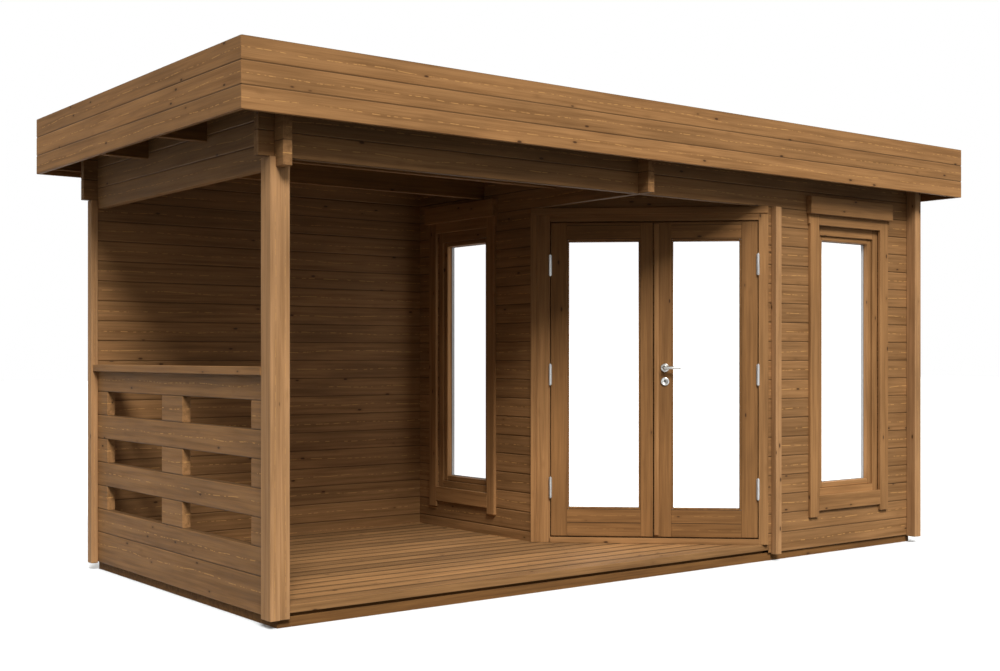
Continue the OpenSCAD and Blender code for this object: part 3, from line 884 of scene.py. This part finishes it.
@dataclass
class DoorSet:
    """The double door across the corner: frame, leaves, hinges' caps and lever."""

    pin_gap: float = 0.0025
    pin_out: float = 0.011
    opening: float = 1.230
    side_gap: float = 0.005
    left_jamb: float = 0.080
    right_jamb: float = 0.058
    depth: float = 0.070
    strip_w: float = 0.037
    strip_out: float = 0.006
    strip_in: float = 0.050
    floor: float = 0.100
    head: float = 2.016
    head_h: float = 0.040
    wall_top: float = 2.098
    stop_y: float = 0.047
    stop_w: float = 0.014
    hinge_heights: tuple[float, ...] = (0.428, 1.103, 1.755)
    hinge_h: float = 0.120
    pin_r: float = 0.007
    right_leaf_x: float = 0.619
    astragal_w: float = 0.027
    astragal_t: float = 0.014
    astragal_z: tuple[float, float] = (0.150, 1.998)

    def frame_members(self) -> tuple[list, list]:
        """Models the jambs, the stops, the corner strip, the head and its board."""
        a, b = -self.side_gap, self.opening + self.side_gap
        top = self.head + self.head_h
        left = a - self.left_jamb
        right = b + self.right_jamb
        upright = [
            board((left, 0.0, self.floor), (a, self.depth, top)),
            board((b, 0.0, self.floor), (right, self.depth, top)),
            board((a, self.stop_y, self.floor), (a + self.stop_w + self.side_gap, self.depth, self.head)),
            board((b - self.stop_w, self.stop_y, self.floor), (b, self.depth, self.head)),
            board((left - self.strip_w, -self.strip_out, self.floor), (left, self.strip_in, top)),
        ]
        level = [
            board((a, 0.0, self.head), (b, self.depth, top)),
            board((a, self.stop_y, self.head - self.stop_w), (b, self.depth, self.head)),
            board((left - self.strip_w, -self.strip_out, top), (right, self.strip_in, self.wall_top), 0.003),
        ]
        return upright, level

    def hinge_caps(self, x: float) -> list[bpy.types.Object]:
        """Models the round caps at both ends of each hinge pin."""
        caps = []
        for z in self.hinge_heights:
            for end in (-1, 1):
                at = z + end * (self.hinge_h / 2 + 0.002)
                caps.append(round_bar((x, -self.pin_out, at), self.pin_r * 0.8, 0.005, "Z", 0.002, 24))
        return caps

    def build(self) -> None:
        """Builds the door from its frame to its lever."""
        place = door_place()
        upright, level = self.frame_members()
        obj = put(join("door_frame_uprights", upright), place)
        hand_over(obj, ROOT, "joinery_wood", TRIM_WOOD.material(Grain.UPRIGHT, -1.0, 9.0, "Z", 31.0),
                  "door_frame")
        obj = put(join("door_frame_head", level), place)
        hand_over(obj, ROOT, "joinery_wood", TRIM_WOOD.material(Grain.ALONG_DOOR, -1.0, 9.0, "Z", 33.0))
        DoorLeaf("left_door", "left_leaf", 0.0, 0.096, 0.074).build(place, 41.0)
        x0 = self.right_leaf_x
        DoorLeaf("right_door", "right_leaf", x0, 0.100, 0.096).build(place, 51.0)
        low_z, high_z = self.astragal_z
        strip = put(board((x0, -self.astragal_t, low_z), (x0 + self.astragal_w, 0.0, high_z), 0.004), place)
        strip.name = "astragal_strip"
        finish = TRIM_WOOD.material(Grain.UPRIGHT, -1.0, 9.0, "Z", 61.0)
        hand_over(strip, "right_door", "trim_wood", finish, "astragal")
        zinc = HINGE_ZINC.material()
        left_pin = -self.pin_gap
        right_pin = self.opening + self.pin_gap
        caps = self.hinge_caps(left_pin) + self.hinge_caps(right_pin)
        obj = put(join("hinge_caps", caps), place)
        hand_over(obj, ROOT, "hinge_steel", zinc)
        for node in ("frame_hinges", "left_leaf_hinges", "right_leaf_hinges"):
            dress_node(node, zinc)
        LeverSet().build(place)


@dataclass
class FeltRoof:
    """Sheets of mineral felt that overlap down the roof, with a turned-up edge."""

    sheet_w: float = 0.96
    lap: float = 0.08
    rise: float = 0.0022
    upstand: float = 0.07
    upstand_t: float = 0.004

    def build(self) -> None:
        """Lays the sheets, each over the last, and turns the edges up the fascias."""
        low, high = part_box("roof_covering")
        sheets = []
        count = math.ceil((high.x - low.x) / self.sheet_w)
        for i in range(count):
            x0 = low.x + i * self.sheet_w
            x1 = min(high.x, x0 + self.sheet_w + self.lap)
            lift = self.rise * (i % 2)
            sheets.append(board((x0, low.y, low.z), (x1, high.y, high.z + lift), 0.001))
        top = high.z + self.upstand
        t = self.upstand_t
        sheets += [board((low.x, low.y, high.z), (high.x, low.y + t, top), 0.001),
                   board((low.x, high.y - t, high.z), (high.x, high.y, top), 0.001),
                   board((low.x, low.y, high.z), (low.x + t, high.y, top), 0.001),
                   board((high.x - t, low.y, high.z), (high.x, high.y, top), 0.001)]
        obj = join("felt_sheets", sheets)
        hand_over(obj, ROOT, "roof_felt", FELT.material(), "roof_covering")


def dress_node(node: str, finish: bpy.types.Material) -> None:
    """Gives a solid that keeps its own mesh a material.

    Args:
        node: The solid's name.
        finish: Its material.
    """
    obj = frame["nodes"][node]
    obj.data.materials.clear()
    obj.data.materials.append(finish)


@dataclass
class Studio:
    """The camera, the pale floor, the soft key light and a weak fill from behind."""

    eye: Point = (-5.0027, -6.7585, 1.2137)
    heading: float = -39.95
    lens: float = 49.06
    shift: tuple[float, float] = (-0.1127, 0.0205)
    sky: float = 0.55
    below: float = 0.10
    sun: float = 4.0
    sun_from: Point = (-0.28, -0.68, 0.70)
    sun_width: float = 22.0
    fill: float = 1.3
    fill_from: Point = (0.48, 0.74, 0.42)
    fill_width: float = 40.0

    def build(self) -> None:
        """Sets up the camera, the floor and the lights."""
        lens = bpy.data.cameras.new("camera")
        lens.lens = self.lens
        lens.shift_x, lens.shift_y = self.shift
        lens.clip_end = 200.0
        camera = bpy.data.objects.new("camera", lens)
        camera.location = self.eye
        camera.rotation_euler = (math.radians(90), 0.0, math.radians(self.heading))
        bpy.context.scene.collection.objects.link(camera)
        bpy.context.scene.camera = camera

        deselect_all()
        bpy.ops.mesh.primitive_plane_add(size=120.0, location=(0, 0, -0.0005))
        floor = bpy.context.active_object
        floor.name = "studio_floor"
        bpy.ops.object.transform_apply(location=True, rotation=True, scale=True)
        floor.data.materials.append(STUDIO_FLOOR.material())
        floor.visible_diffuse = False

        for name, energy, width, source in (("soft_key", self.sun, self.sun_width, self.sun_from),
                                            ("soft_back", self.fill, self.fill_width, self.fill_from)):
            light = bpy.data.lights.new(name, "SUN")
            light.energy = energy
            light.angle = math.radians(width)
            light.color = (1.0, 0.975, 0.94)
            lamp = bpy.data.objects.new(name, light)
            lamp.rotation_euler = Vector(source).to_track_quat("Z", "Y").to_euler()
            bpy.context.scene.collection.objects.link(lamp)

        world = bpy.data.worlds.new("studio")
        world.use_nodes = True
        bpy.context.scene.world = world
        tree = world.node_tree
        sky = tree.nodes["Background"]
        sky.inputs["Color"].default_value = (1.0, 0.96, 0.90, 1.0)
        tree.links.new(self.sky_level(tree), sky.inputs["Strength"])
        backdrop = tree.nodes.new("ShaderNodeBackground")
        backdrop.inputs["Color"].default_value = (1.0, 1.0, 1.0, 1.0)
        rays = tree.nodes.new("ShaderNodeLightPath")
        either = tree.nodes.new("ShaderNodeMixShader")
        tree.links.new(rays.outputs["Is Camera Ray"], either.inputs[0])
        tree.links.new(sky.outputs[0], either.inputs[1])
        tree.links.new(backdrop.outputs[0], either.inputs[2])
        tree.links.new(either.outputs[0], tree.nodes["World Output"].inputs["Surface"])
        bpy.context.scene.view_settings.view_transform = "Standard"

    def sky_level(self, tree: bpy.types.NodeTree) -> bpy.types.NodeSocket:
        """Makes the sky dim below the horizon, so that the soffits stay dark."""
        place = tree.nodes.new("ShaderNodeTexCoord")
        height = tree.nodes.new("ShaderNodeSeparateXYZ")
        tree.links.new(place.outputs["Generated"], height.inputs[0])
        level = tree.nodes.new("ShaderNodeMapRange")
        tree.links.new(height.outputs["Z"], level.inputs["Value"])
        limits = {"From Min": -0.05, "From Max": 0.25, "To Min": self.below, "To Max": self.sky}
        for key, value in limits.items():
            level.inputs[key].default_value = value
        return level.outputs[0]


def window_places() -> tuple[Matrix, Matrix]:
    """The frames of the front window and of the terrace window, from their panes and walls."""
    low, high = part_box("front_window_glass")
    wall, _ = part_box("front_wall")
    front = Matrix.Translation(((low.x + high.x) / 2, wall.y, 0.0))
    low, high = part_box("side_window_glass")
    wall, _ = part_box("partition_wall")
    turn = Matrix.Rotation(math.radians(-90), 4, "Z")
    side = Matrix.Translation((wall.x, (low.y + high.y) / 2, 0.0)) @ turn
    return front, side


def timbers() -> Sequence[Timber]:
    """Lists the walls, beams, posts and fascias with the run of their grain."""
    course = {"foot": WALL_FOOT, "course": LOG_HEIGHT}
    shifted = {"foot": WALL_FOOT + LOG_HEIGHT / 2, "course": LOG_HEIGHT}
    band = {"foot": FASCIA_FOOT, "course": FASCIA_COURSE, "slot": "trim_wood"}
    rail = {"foot": RAIL_FOOT, "course": RAIL_COURSE}
    single = {"foot": -1.0, "course": 9.0}
    made = [Timber(n, LOG_WOOD, Grain.ALONG_X, **course)
            for n in ("back_wall", "front_wall", "front_beam", "back_beam")]
    made += [Timber(n, LOG_WOOD, Grain.ALONG_Y, **course) for n in ("partition_wall", "cross_beam")]
    made += [Timber("right_wall", LOG_WOOD, Grain.ALONG_Y, **shifted),
             Timber("side_beam", LOG_WOOD, Grain.ALONG_Y, SIDE_BEAM_FOOT, LOG_HEIGHT),
             Timber("door_wall_top", LOG_WOOD, Grain.ALONG_DOOR, **course),
             Timber("railing_panel", LOG_WOOD, Grain.ALONG_Y, **rail),
             Timber("handrail", TRIM_WOOD, Grain.ALONG_Y, slot="trim_wood", **single),
             Timber("base_frame", ROUGH_WOOD, Grain.ALONG_X, slot="frame_wood", **single),
             Timber("roof_joists", ROUGH_WOOD, Grain.ALONG_X, slot="frame_wood", **single),
             Timber("door_threshold", TRIM_WOOD, Grain.ALONG_DOOR, slot="deck_wood", **single)]
    made += [Timber(n, TRIM_WOOD, Grain.ALONG_X, **band) for n in ("fascia_front", "fascia_back")]
    made += [Timber(n, TRIM_WOOD, Grain.ALONG_Y, **band) for n in ("fascia_left", "fascia_right")]
    made += [Timber(n, POST_WOOD, Grain.UPRIGHT, slot="trim_wood", edge=0.003, across="X", whole_width=True)
             for n in ("corner_post_left", "corner_post_right", "post_back_left", "post_back_right",
                       "post_front_right", "post_beside_door")]
    return made


def main() -> None:
    """Builds the shed piece by piece, then the studio."""
    for number, timber in enumerate(timbers()):
        timber.build(1.0 + number * 0.71)
    BoardBed("terrace_deck", DECK_WOOD, "deck_wood", 0.118, 0.004, True, grooves=5).build(71.0)
    BoardBed("room_floor", DECK_WOOD, "deck_wood", 0.120, 0.001, True).build(73.0)
    BoardBed("roof_boards", ROUGH_WOOD, "frame_wood", 0.088, 0.003, False).build(75.0)
    FeltRoof().build()
    front, side = window_places()
    WindowUnit("front_window", front, Grain.ALONG_X).build(81.0)
    WindowUnit("side_window", side, Grain.ALONG_Y).build(91.0)
    DoorSet().build()
    pane = PaneFinish().material()
    for node in ("front_window_glass", "side_window_glass", "left_leaf_glass", "right_leaf_glass"):
        dress_node(node, pane)
    Studio().build()


if __name__ == "__main__":
    main()
